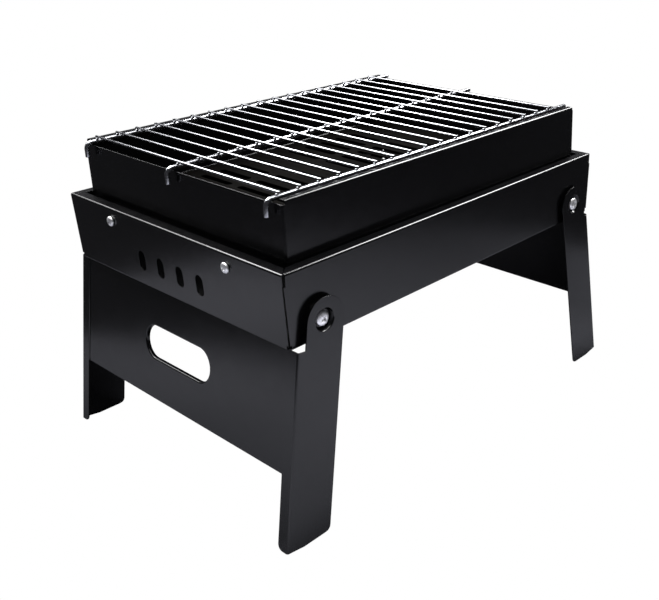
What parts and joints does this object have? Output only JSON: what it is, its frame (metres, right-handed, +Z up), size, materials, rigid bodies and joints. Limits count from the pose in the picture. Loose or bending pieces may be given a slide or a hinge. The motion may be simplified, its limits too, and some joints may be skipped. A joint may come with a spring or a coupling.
{
  "type": "folding camp grill",
  "caption": "Folding tabletop charcoal grill: bent sheet tray on two folding slotted leg frames, lift-out fire box and hooked wire cooking grid.",
  "frame": {"origin": "on the ground under the middle of the open grill", "axes": "+Z up, X along the grill's length with the grid's hooks at -X, Y across it"},
  "size_m": [0.3838, 0.27, 0.2468],
  "materials": {
    "black_enamel": "satin black enamel on sheet steel",
    "charcoal_grate_black": "dull heat-proof black on sheet steel",
    "chrome_wire": "bright chrome plate on steel wire",
    "screw_plate": "bright nickel plate on steel screws",
    "zinc_plate": "zinc plate on steel nuts"
  },
  "bodies": {
    "tray": {"lower_tray": "black_enamel", "end_ledge_left": "black_enamel", "end_ledge_right": "black_enamel", "end_screw_left_front": "screw_plate", "end_screw_left_back": "screw_plate", "end_screw_right_front": "screw_plate", "end_screw_right_back": "screw_plate", "end_nut_left_front": "zinc_plate", "end_nut_left_back": "zinc_plate", "end_nut_right_front": "zinc_plate", "end_nut_right_back": "zinc_plate", "pivot_screw_left_front": "screw_plate", "pivot_screw_left_back": "screw_plate", "pivot_screw_right_front": "screw_plate", "pivot_screw_right_back": "screw_plate", "pivot_nut_left_front": "zinc_plate", "pivot_nut_left_back": "zinc_plate", "pivot_nut_right_front": "zinc_plate", "pivot_nut_right_back": "zinc_plate"},
    "left_legs": {"leg_frame_left": "black_enamel"},
    "right_legs": {"leg_frame_right": "black_enamel"},
    "fire_box": {"fire_box": "black_enamel"},
    "charcoal_grate": {"charcoal_grate": "charcoal_grate_black"},
    "cooking_grid": {"grid_rail_front": "chrome_wire", "grid_rail_middle": "chrome_wire", "grid_rail_back": "chrome_wire", "grid_rod_01": "chrome_wire", "grid_rod_02": "chrome_wire", "grid_rod_03": "chrome_wire", "grid_rod_04": "chrome_wire", "grid_rod_05": "chrome_wire", "grid_rod_06": "chrome_wire", "grid_rod_07": "chrome_wire", "grid_rod_08": "chrome_wire", "grid_rod_09": "chrome_wire", "grid_rod_10": "chrome_wire", "grid_rod_11": "chrome_wire", "grid_rod_12": "chrome_wire", "grid_rod_13": "chrome_wire", "grid_rod_14": "chrome_wire", "grid_rod_15": "chrome_wire", "grid_rod_16": "chrome_wire", "grid_rod_17": "chrome_wire", "grid_rod_18": "chrome_wire"}
  },
  "joints": [
    {"name": "left_legs_fold", "type": "hinge", "parent": "tray", "child": "left_legs", "pos_m": [-0.1463, 0, 0.1608], "axis": [0, -1, 0], "range_deg": [0, 98.9]},
    {"name": "right_legs_fold", "type": "hinge", "parent": "tray", "child": "right_legs", "pos_m": [0.1463, 0, 0.1608], "axis": [0, 1, 0], "range_deg": [0, 98.9]},
    {"name": "fire_box_lift", "type": "slide", "parent": "tray", "child": "fire_box", "axis": [0, 0, 1], "range_m": [0, 0.08]},
    {"name": "charcoal_grate_lift", "type": "slide", "parent": "fire_box", "child": "charcoal_grate", "axis": [0, 0, 1], "range_m": [0, 0.04]},
    {"name": "cooking_grid_lift", "type": "slide", "parent": "fire_box", "child": "cooking_grid", "axis": [0, 0, 1], "range_m": [0, 0.06]}
  ]
}
